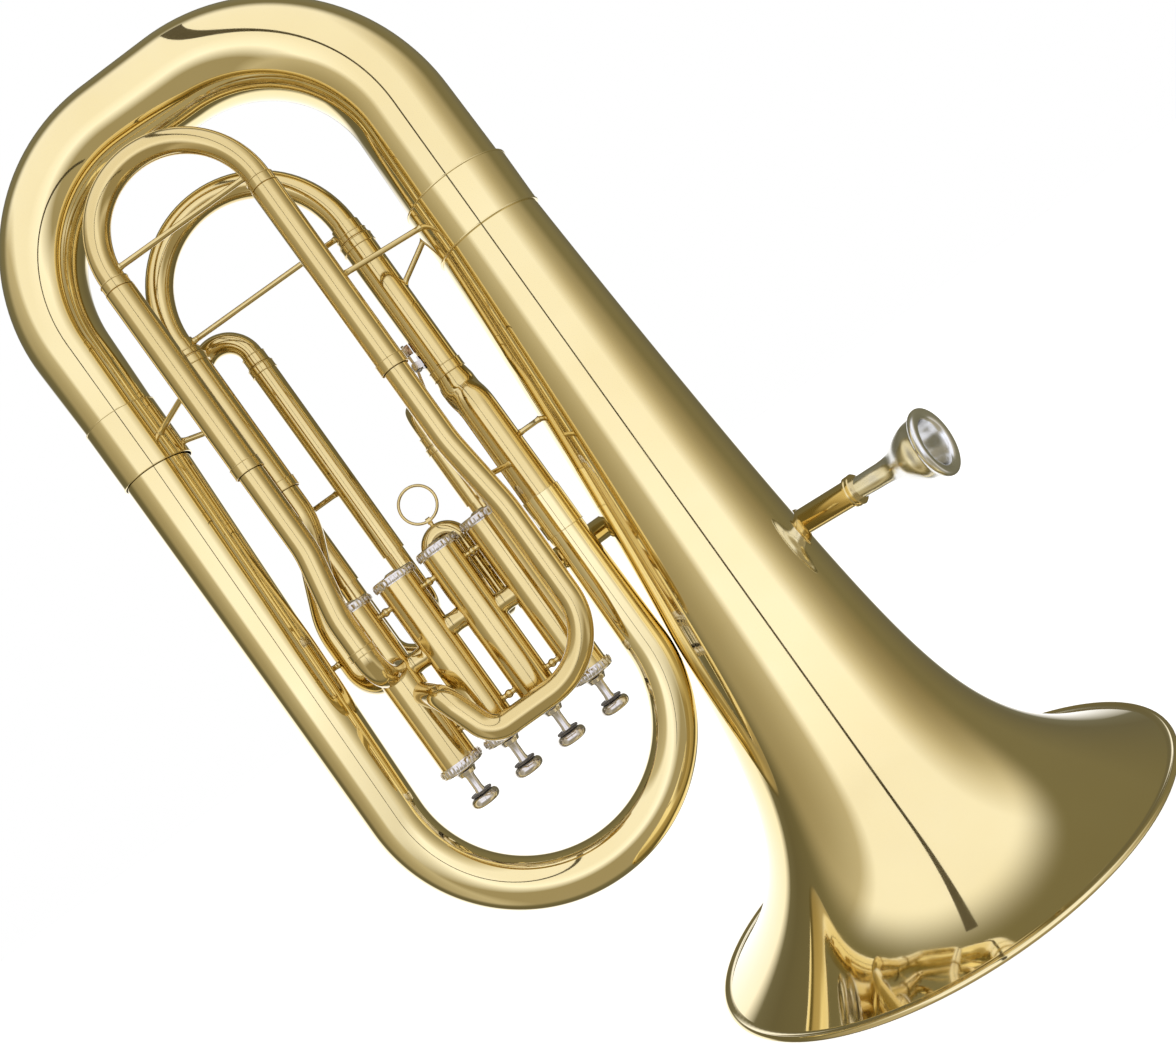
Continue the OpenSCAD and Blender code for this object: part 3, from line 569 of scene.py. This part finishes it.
# ---- Slides ----
def main_slide():
    axis = VALVE_4 + UP * MAIN_PORT[2]
    port = Vector(MAIN_PORT)
    outward = (port - axis).normalized()
    shapes = [sleeve(MAIN, side) for side in (0, 1)]
    for side in (0, 1):
        shapes.append(slide_band(MAIN, side, MAIN.top - 2, MAIN.top + 4, MAIN.sleeve_r, 0.5))
        shapes.append(slide_band(MAIN, side, MAIN.end - 5, MAIN.end, MAIN.sleeve_r, 0.5))
    tube = pipe([MAIN.at(1, MAIN.top), MAIN.at(1, 350), (port.x, port.y, 296), port, axis + outward * 6],
                [40, 40, 13], MAIN.tube_r)
    shapes.append(coped(tube, axis, CASING_SEAT, outward, COPE_TOP))
    piece("main_slide_outer", "main_slide_sleeves", *shapes)

    shapes = [slide_bow(MAIN, MAIN_BOW_R, MAIN.bow_z - 6)]
    for side in (0, 1):
        shapes.append(leg(MAIN, side, 20))
        shapes.append(slide_band(MAIN, side, MAIN.end + 0.5, MAIN.end + 4.2, MAIN.leg_r, 0.6))
    shapes.append(wall_stay(MAIN.at(0, MAIN.bow_z - 2.8), MAIN.leg_r,
                            MAIN.at(1, MAIN.bow_z - 2.8), MAIN.leg_r))
    piece("main_slide_crook", "main_slide_bow", *shapes)


def fourth_slide():
    y = FOURTH.feet[0][1]
    shapes = [sleeve(FOURTH, side) for side in (0, 1)]
    for side in (0, 1):
        shapes.append(slide_band(FOURTH, side, FOURTH.top - 2, FOURTH.top + 4, FOURTH.sleeve_r, 0.4))
    start, corner = VALVE_4 + Vector((6, -4, 236)), Vector((-110.4, y + 2, 229))
    front = pipe([start, corner, (-99.4, y, FOURTH_TOP_Z), (FOURTH_FRONT_X, y, FOURTH_TOP_Z),
                  (FOURTH_FRONT_X, y, 292), FOURTH.at(0, 336), FOURTH.at(0, FOURTH.top)],
                 [12, 14, 37, 100, 100], FOURTH.tube_r, sides=40)
    shapes.append(coped(front, VALVE_4, CASING_SEAT, corner - start, COPE_TOP))
    start, corner = VALVE_4 + Vector((2, -4, 256)), Vector((FOURTH_BACK_X, y, 256))
    back = pipe([start, corner, (FOURTH_BACK_X, y, 294), FOURTH.at(1, 332), FOURTH.at(1, FOURTH.top)],
                [14, 60, 60], FOURTH.tube_r, sides=40)
    shapes.append(coped(back, VALVE_4, CASING_SEAT, corner - start, COPE_TOP))
    shapes.append(band((FOURTH_BACK_X, y, 271), (FOURTH_BACK_X, y, 275), FOURTH.tube_r,
                       FOURTH.tube_r, 0.5))
    piece("fourth_valve_tube", "fourth_valve_tubing", *shapes)

    shapes = [slide_bow(FOURTH, FOURTH.leg_r, FOURTH.bow_z)]
    for side in (0, 1):
        shapes.append(leg(FOURTH, side, 20))
        shapes.append(slide_band(FOURTH, side, FOURTH.end + 0.5, FOURTH.bow_z - 0.5, FOURTH.leg_r, 0.6))
    shapes.append(wall_stay(FOURTH.at(0, FOURTH.bow_z + 4), FOURTH.leg_r,
                            FOURTH.at(1, FOURTH.bow_z + 4), FOURTH.leg_r))
    piece("fourth_slide_crook", "fourth_slide_bow", *shapes)


def third_slide():
    left, right = THIRD.feet[0][0], THIRD.feet[1][0]
    y = THIRD.feet[0][1]
    shapes = [sleeve(THIRD, side) for side in (0, 1)]
    for side in (0, 1):
        shapes.append(slide_band(THIRD, side, THIRD.end - 5, THIRD.end, THIRD.sleeve_r, 0.5))
    shapes.append(wall_stay(THIRD.at(0, 356), THIRD.sleeve_r, THIRD.at(1, 356), THIRD.sleeve_r))
    upper = pipe([(left - 3, 4, 272), (left, y, 272), (left, y, THIRD.top)], [10], THIRD.tube_r)
    lower = pipe([(left - 5, 4, 244), (left - 8, y, 244), (right, y, 262), (right, y, THIRD.top)],
                 [9, 14], THIRD.tube_r)
    shapes += [coped(tube, (VALVE_X[2], 0), CASING_SEAT, FRONT, COPE_TOP) for tube in (upper, lower)]
    piece("third_slide_outer", "third_slide_sleeves", *shapes)

    shapes = [slide_bow(THIRD, THIRD.leg_r, THIRD.bow_z)]
    for side in (0, 1):
        shapes.append(leg(THIRD, side, 10))
        shapes.append(slide_band(THIRD, side, THIRD.end + 0.5, THIRD.bow_z - 0.5, THIRD.leg_r, 0.6))
    piece("third_slide_crook", "third_slide_bow", *shapes)


def second_slide():
    shapes = [sleeve(SECOND, side) for side in (0, 1)]
    for side, port_z in ((0, 248), (1, 262)):
        x, y = SECOND.feet[side]
        start_x = VALVE_X[1] + (x - VALVE_X[1]) * 0.3
        tube = pipe([(start_x, 4, port_z), (x, y, port_z), (x, y, SECOND.top + 4)], [8], SECOND.tube_r)
        shapes.append(coped(tube, (VALVE_X[1], 0), CASING_SEAT, (x - start_x, y - 4), COPE_TOP))
    piece("second_slide_outer", "second_slide_sleeves", *shapes)

    eye_r, eye_half, stud_z = 2.0, 1.5, 308.6
    hole_r = RING_WIRE_R + 0.25
    shapes = [slide_bow(SECOND, SECOND.leg_r, SECOND.bow_z), leg(SECOND, 0, 6), leg(SECOND, 1, 6)]
    shapes.append(turned([(hole_r, -eye_half), (eye_r, -eye_half), (eye_r, eye_half), (hole_r, eye_half)],
                         RING_PIVOT, (1, 0, 0), 32))
    shapes.append(turned([(0, 0), (1.9, 0), (1.3, 1.4), (1.2, 3.1), (0, 3.1)],
                         (RING_PIVOT.x, RING_PIVOT.y, stud_z), UP, 24))
    piece("second_slide_crook", "second_slide_bow", *shapes)

    wire = [(RING_R + RING_WIRE_R * math.cos(a), RING_WIRE_R * math.sin(a))
            for a in (math.tau * k / 16 for k in range(16))]
    piece("pull_ring", "second_slide_ring", turned(wire, RING_PIVOT + UP * RING_R, FRONT, 72))


def first_slide():
    shapes = [sleeve(FIRST, side) for side in (0, 1)]
    for side, port_z, bend_r in ((0, 284, 8.5), (1, 267, 14)):
        x, y = FIRST.feet[side]
        shapes.append(slide_band(FIRST, side, FIRST.end - 4, FIRST.end, FIRST.sleeve_r, 0.5))
        tube = pipe([(x, 5, port_z), (x, y, port_z), (x, y, FIRST.top)], [bend_r], FIRST.tube_r)
        shapes.append(coped(tube, (VALVE_X[0], 0), CASING_SEAT, FRONT, COPE_TOP))
    piece("first_slide_outer", "first_slide_sleeves", *shapes)

    shapes = [slide_bow(FIRST, FIRST.leg_r, FIRST.bow_z)]
    for side in (0, 1):
        shapes.append(leg(FIRST, side, 4))
        shapes.append(slide_band(FIRST, side, FIRST.end + 0.5, FIRST.end + 7, FIRST.leg_r, 0.6))
    piece("first_slide_crook", "first_slide_bow", *shapes)


# ---- Leadpipe and mouthpiece ----
def on_mouth_axis(d):
    return RIM_CENTRE + MOUTH_DIR * d


def leadpipe():
    wrap_start = on_mouth_axis(130.5)
    end_dir = Vector((-0.8025, -0.5966, 0))
    valve_axis = Vector((VALVE_X[0], 0, 252.6))
    wrap_end = valve_axis - end_dir * 96.7
    centre = (wrap_start + wrap_end) / 2
    down = (wrap_end - wrap_start).normalized()
    shapes = [
        pipe([on_mouth_axis(RECEIVER_START + RECEIVER_LENGTH - 4), wrap_start, centre], [28], LEAD_R),
        coped(pipe([centre, wrap_end, valve_axis - end_dir * 5], [28], LEAD_WIDE_R),
              valve_axis, CASING_SEAT, -end_dir),
        band(centre - 3 * down, centre + 3 * down, LEAD_R, LEAD_R, LEAD_WIDE_R + 0.7 - LEAD_R),
    ]
    piece("leadpipe_tube", "leadpipe", *shapes)


def mouthpiece():
    outside = [(17, 0.2), (18.6, 0.25), (19.7, 1.1), (20, 2.4), (19.5, 4), (18, 5.3), (17.2, 8), (16.2, 13),
               (13.6, 19), (10, 24.5), (7.6, 29.5), (6.6, 36), (6.45, 44), (6.2, 54)]
    inside = [(3.4, 40), (3.2, 25), (4.6, 21), (8.6, 16.8), (11.4, 11), (12.8, 5), (13.8, 1.6), (15.2, 0.5)]
    shank = [(5.04, 80), (4.1, 80)]
    outline = smooth(outside) + shank + smooth(inside)
    piece("mouthpiece_cup", "mouthpiece",
          turned(outline, RIM_CENTRE, MOUTH_DIR, 72), smooth_below=50)


def mouthpiece_receiver():
    bead, collar, wall = 9.2, 8.4, 7.8
    length = RECEIVER_LENGTH
    outline = [(6.15, 0), (bead - 0.5, 0), (bead, 0.6), (bead, 1.6), (collar, 2.2), (collar, 2.8),
               (bead - 0.2, 3.4), (bead - 0.2, 4.4), (wall, 5.2), (wall, length - 4.4), (8.8, length - 3.8),
               (8.8, length - 0.7), (collar, length), (LEAD_R, length), (LEAD_R, length - 4),
               (4.7, length - 4), (4.7, 27), (5.1, 26.9)]
    piece("receiver_sleeve", "mouthpiece_receiver",
          turned(outline, on_mouth_axis(RECEIVER_START), MOUTH_DIR, 64))


# ---- Valves ----
def knurled(shape, x, least_r, depth=0.35, count=36):
    """Cuts shallow grooves along the part of a valve's cap that lies beyond least_r."""
    points, faces = shape
    cut = []
    for p in points:
        r = math.hypot(p.x - x, p.y)
        if r >= least_r:
            k = 1 - depth * (0.5 - 0.5 * math.cos(count * math.atan2(p.y, p.x - x))) / r
            p = Vector((x + (p.x - x) * k, p.y * k, p.z))
        cut.append(p)
    return cut, faces


def valve_casings():
    top, end = low("valve_1_casing").z, high("valve_1_casing").z
    for n, x in enumerate(VALVE_X, start=1):
        outline = [(CASING_BORE, top), (CASING_R, top), (CASING_R, end), (CASING_BORE, end)]
        piece(f"casing_{n}", f"valve_{n}_casing", turned(outline, (x, 0, 0), steps=96))


def valve_caps():
    collar, top = low("valve_top_caps").z, low("valve_1_casing").z
    grip = CAP_R + CAP_BEAD
    outline = [(STEM_R + FIT, collar), (4.9, collar), (5.2, collar + 0.3), (5.6, collar + 1.6),
               (6.7, collar + 3), (8.6, collar + 4), (CAP_R - 0.6, top - 5.5), (CAP_R, top - 4.9),
               (CAP_R, top - 4.2), (grip, top - 3.8), (grip, top - 1.2), (CAP_R, top - 0.8), (CAP_R, top),
               (CASING_BORE, top), (CASING_BORE, top + 3), (8.9, top + 3), (8.9, top - 2),
               (STEM_R + FIT, top - 2)]
    piece("top_caps", "valve_top_caps",
          *[knurled(turned(outline, (x, 0, 0), steps=144), x, grip - 0.1) for x in VALVE_X])
    end, dome = high("valve_1_casing").z, high("valve_bottom_caps").z
    outline = [(9.4, end), (CAP_R, end), (CAP_R, end + 0.7), (grip, end + 1.1), (grip, end + 3.4),
               (CAP_R, end + 3.8), (CAP_R, end + 4.4), (CAP_R - 0.6, end + 5), (5, end + 5),
               (4.4, end + 5.8), (3.4, dome), (0, dome), (0, end + 2.5), (9.4, end + 2.5)]
    piece("bottom_caps", "valve_bottom_caps",
          *[knurled(turned(outline, (x, 0, 0), steps=144), x, grip - 0.1) for x in VALVE_X])


def valve_buttons():
    end, felt_end = high("valve_1_button").z, high("valve_1_felt").z
    collar, stem_start, stem_end = low("valve_top_caps").z, low("valve_1_stem").z, high("valve_1_stem").z
    edge, edge_r = 3.1, 5.6
    rim = [(edge_r + edge * math.cos(a), end - edge - 0.4 + edge * math.sin(a))
           for a in (math.radians(-90 + 15 * i) for i in range(13))]
    dish = [(0, end - 5.6), (2.4, end - 5.7), (4.3, end - 6.2)]
    button = dish + rim + [(4.8, end), (STEM_R, end), (STEM_R, stem_start), (0, stem_start)]
    waist = STEM_R - 0.35
    stem = [(0, stem_start), (STEM_R, stem_start), (STEM_R, felt_end + 0.8), (waist, felt_end + 2.2),
            (waist, collar - 1.6), (STEM_R, collar - 0.4), (STEM_R, stem_end), (0, stem_end)]
    felt = [(STEM_R, end), (6.2, end), (6.5, end + 0.3), (6.5, felt_end - 0.3), (6.2, felt_end),
            (STEM_R, felt_end)]
    for n, x in enumerate(VALVE_X, start=1):
        piece(f"button_{n}", f"valve_{n}_button", turned(button, (x, 0, 0), steps=64))
        piece(f"stem_{n}", f"valve_{n}_stem", turned(stem, (x, 0, 0), steps=40))
        piece(f"felt_{n}", f"valve_{n}_felt", turned(felt, (x, 0, 0), steps=48))


def valve_springs():
    """Each valve's coil: its own copy of the CAD spring's mesh, on the spring's body."""
    for n, x in enumerate(VALVE_X, start=1):
        node = f"valve_{n}_spring"
        mesh = NODES[node].data.copy()
        mesh.transform(NODES[node].matrix_world)
        coil = bpy.data.objects.new(f"valve_{n}_coil", mesh)
        bpy.context.scene.collection.objects.link(coil)
        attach(coil, BODY_OF[node])
        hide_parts(node)
        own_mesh(coil)


def between_casings(outline, n, z):
    """A shape turned round the line from casing n to the next one, with both ends coped."""
    start, end = VALVE_X[n] + CASING_BORE - 4, VALVE_X[n - 1] - CASING_BORE + 4
    shape = turned(outline(end - start), (start, 0, z), (1, 0, 0), 40)
    shape = coped(shape, (VALVE_X[n], 0), CASING_SEAT, (1, 0))
    return coped(shape, (VALVE_X[n - 1], 0), CASING_SEAT, (-1, 0))


def knuckle_outline(length):
    flare = 0.55
    middle_h = length / 2
    outside = [(KNUCKLE_R + flare * min(1, (abs(h - middle_h) / 4.2) ** 2), h)
               for h in (length * i / 24 for i in range(25))]
    return outside + [(PORT_R, length), (PORT_R, 0)]


def stud_outline(length):
    ball, thin = 2.5, 1.6
    middle_h = length / 2
    bulge = [(max(thin, ball * math.cos(a)), middle_h + ball * math.sin(a))
             for a in (math.radians(-75 + 15 * i) for i in range(11))]
    return [(0, 0), (thin, 0), *bulge, (thin, length), (0, length)]


def valve_knuckles():
    shapes = [between_casings(knuckle_outline, n, z) for n, z in enumerate(KNUCKLE_Z, start=1)]
    shapes += [between_casings(stud_outline, n, z) for n in (1, 2, 3) for z in (209, 284)]
    piece("knuckles", "valve_knuckles", *shapes)


# ---- Stays ----
def stays():
    collar_r = bell_r(low("bell_ferrule").z) + 0.85
    piece("bell_stay_rods", "bell_stays",
          wall_stay((BELL_X, 0, 321), bell_r(321), (BRANCH_X, 0, 321), branch_r(321)),
          wall_stay((BELL_X, 0, 438), collar_r, MAIN.at(0, 425), MAIN.sleeve_r),
          wall_stay((BELL_X, 0, 440), collar_r, FOURTH.at(0, 438), FOURTH.sleeve_r))
    bow_r = 20.45
    y = FOURTH.feet[0][1]
    piece("slide_stay_rods", "slide_stays",
          wall_stay((BRANCH_X, 0, 310), branch_r(310), (FOURTH_FRONT_X - 2, y, 310), FOURTH.tube_r),
          wall_stay(FOURTH.at(1, 436), FOURTH.sleeve_r, (BOW_RIGHT_X, 0, 432), bow_r),
          wall_stay(MAIN.at(1, 420), MAIN.sleeve_r, (BOW_RIGHT_X, 0, 425), bow_r),
          wall_stay((*MAIN_PORT[:2], 276), MAIN.tube_r, (BOW_RIGHT_X - 2.7, 0, 276), 17.15))


# ---- Studio ----
def stage_mesh(name, points, faces, material):
    mesh = bpy.data.meshes.new(name)
    mesh.from_pydata(points, [], faces)
    mesh.materials.append(material)
    made = bpy.data.objects.new(name, mesh)
    bpy.context.scene.collection.objects.link(made)
    return made


def floor():
    """A large pale floor, lit a little from within so that it stays pale far away."""
    reach, sides, glow = 30.0, 64, 0.78
    points = [(reach * math.cos(math.tau * k / sides), reach * math.sin(math.tau * k / sides), 0)
              for k in range(sides)]
    material, nodes, links, bsdf = shader("pale_floor")
    paper = noise(nodes, links, 3, 2)
    links.new(ramp(nodes, links, paper, [(0.3, (0.78, 0.78, 0.77)), (0.7, (0.80, 0.80, 0.79))]),
              bsdf.inputs["Base Color"])
    bsdf.inputs["Roughness"].default_value = 0.95
    bsdf.inputs["Specular IOR Level"].default_value = 0.1
    bsdf.inputs["Emission Color"].default_value = (1, 1, 1, 1)
    bsdf.inputs["Emission Strength"].default_value = glow
    made = stage_mesh("floor", points, [tuple(range(sides))], material)
    made.visible_glossy = False


def pale_backdrop():
    world = bpy.data.worlds.new("pale_backdrop")
    world.use_nodes = True
    world.node_tree.nodes["Background"].inputs["Color"].default_value = (1, 1, 1, 1)
    bpy.context.scene.world = world


def light_tent():
    """A round light tent: bright in front, dimmer to the sides, above and below, white far behind."""
    radius, columns, rows, strength = 40.0, 96, 48, 1.28
    points = []
    for i in range(rows + 1):
        polar = math.pi * i / rows
        for k in range(columns):
            a = math.tau * k / columns
            points.append((radius * math.sin(polar) * math.cos(a), radius * math.sin(polar) * math.sin(a),
                           radius * math.cos(polar)))
    faces = [(i * columns + k, i * columns + (k + 1) % columns, (i + 1) * columns + (k + 1) % columns,
              (i + 1) * columns + k) for i in range(rows) for k in range(columns)]
    material, nodes, links, bsdf = shader("tent_cloth")

    def maths(operation, *values):
        node = nodes.new("ShaderNodeMath")
        node.operation = operation
        for socket, value in zip(node.inputs, values):
            if isinstance(value, (int, float)):
                socket.default_value = value
            else:
                links.new(value, socket)
        return node.outputs[0]

    def blended(share, first, second):
        node = nodes.new("ShaderNodeMix")
        node.data_type = "RGBA"
        links.new(share, node.inputs["Factor"])
        links.new(first, node.inputs[6])
        links.new(second, node.inputs[7])
        return node.outputs[2]

    def tinted(stops):
        """Dim cloth is warmer than bright cloth."""
        return [(at, (f, f * (0.82 + 0.21 * f), f * (0.36 + 0.81 * f))) for at, f in stops]

    place = nodes.new("ShaderNodeTexCoord")
    unit = nodes.new("ShaderNodeVectorMath")
    unit.operation = "NORMALIZE"
    links.new(place.outputs["Object"], unit.inputs[0])
    parts = nodes.new("ShaderNodeSeparateXYZ")
    links.new(unit.outputs[0], parts.inputs[0])
    x, y, z = parts.outputs
    across = maths("MULTIPLY_ADD", x, 0.5, 0.5)
    left, right = [(0.0, 0.30), (0.06, 0.37), (0.16, 0.48)], [(0.87, 0.63), (0.93, 0.44), (1.0, 0.24)]

    def front_cloth(brightness_left, brightness_right):
        centre = [(0.225, brightness_left), (0.775, brightness_right)]
        return ramp(nodes, links, across, tinted(left + centre + right))

    level, overhead, underneath = front_cloth(1.0, 0.98), front_cloth(0.87, 0.87), front_cloth(0.32, 0.32)
    band_height = 0.35
    upper_half = blended(maths("DIVIDE", maths("MAXIMUM", z, 0.0), band_height), level, overhead)
    below = maths("MAXIMUM", maths("MULTIPLY", z, -1.0), 0.0)
    front = blended(maths("DIVIDE", below, band_height), upper_half, underneath)
    sideways = maths("SUBTRACT", y, maths("MULTIPLY", x, 0.35))
    raised = maths("MULTIPLY", maths("MAXIMUM", z, 0.0), 0.6)
    behind = ramp(nodes, links, maths("SUBTRACT", sideways, raised), [
        (0.0, (0.17, 0.155, 0.095)), (0.60, (0.12, 0.108, 0.065)), (0.74, (0.14, 0.13, 0.085)),
        (0.84, (0.95, 0.94, 0.92))])
    turn = nodes.new("ShaderNodeMapRange")
    turn.interpolation_type = "SMOOTHSTEP"
    turn.inputs["From Min"].default_value = -0.15
    turn.inputs["From Max"].default_value = 0.2
    links.new(y, turn.inputs["Value"])
    cloth = blended(turn.outputs["Result"], front, behind)
    bsdf.inputs["Base Color"].default_value = (0, 0, 0, 1)
    bsdf.inputs["Specular IOR Level"].default_value = 0
    links.new(cloth, bsdf.inputs["Emission Color"])
    bsdf.inputs["Emission Strength"].default_value = strength
    tent = stage_mesh("light_tent", points, faces, material)
    tent.visible_camera = False


def tent_seam():
    """The dark seam between the two halves of the tent, seen only as a thin line in the brass."""
    least_half_w, upper_half_w = 0.013, 0.035
    middle_x = -0.014
    front_y = -0.70
    arc_r = 0.70
    rise = 0.55
    path = [(front_y, -0.0), (front_y, rise)]
    path += [(front_y + arc_r * (1 - math.cos(a)), rise + arc_r * math.sin(a))
             for a in (math.radians(6 * i) for i in range(1, 16))]
    widths = [least_half_w + (upper_half_w - least_half_w) * i / (len(path) - 1) for i in range(len(path))]
    points = [(middle_x + side * w, y, z) for w, (y, z) in zip(widths, path) for side in (-1, 1)]
    faces = [(2 * i, 2 * i + 1, 2 * i + 3, 2 * i + 2) for i in range(len(path) - 1)]
    material, _, _, bsdf = shader("seam_cloth")
    bsdf.inputs["Base Color"].default_value = (0.10, 0.09, 0.07, 1)
    bsdf.inputs["Roughness"].default_value = 1.0
    bsdf.inputs["Specular IOR Level"].default_value = 0.0
    seam = stage_mesh("tent_seam", points, faces, material)
    seam.visible_camera = False
    seam.visible_diffuse = False
    seam.visible_shadow = False


def camera():
    """The photograph's view: level, from the player's side, with the instrument's axis leaning left."""
    lean = math.radians(35.62)
    right = Vector((math.cos(lean), 0, -math.sin(lean)))
    up = Vector((math.sin(lean), 0, math.cos(lean)))
    data = bpy.data.cameras.new("camera")
    data.sensor_width = 36
    data.lens = 37.5
    data.clip_start = 0.01
    eye = bpy.data.objects.new("camera", data)
    basis = Matrix((right, up, -FRONT)).transposed()
    eye.matrix_world = Matrix.Translation((0.0022, -0.667, 0.258)) @ basis.to_4x4()
    bpy.context.scene.collection.objects.link(eye)
    bpy.context.scene.camera = eye


finish_nodes()
bell()
bottom_bow()
upper_bow()
large_ferrules()
small_branch()
main_slide()
fourth_slide()
third_slide()
second_slide()
first_slide()
leadpipe()
mouthpiece()
mouthpiece_receiver()
valve_casings()
valve_caps()
valve_buttons()
valve_springs()
valve_knuckles()
stays()
floor()
pale_backdrop()
light_tent()
tent_seam()
camera()
bpy.context.scene.view_settings.view_transform = "Standard"
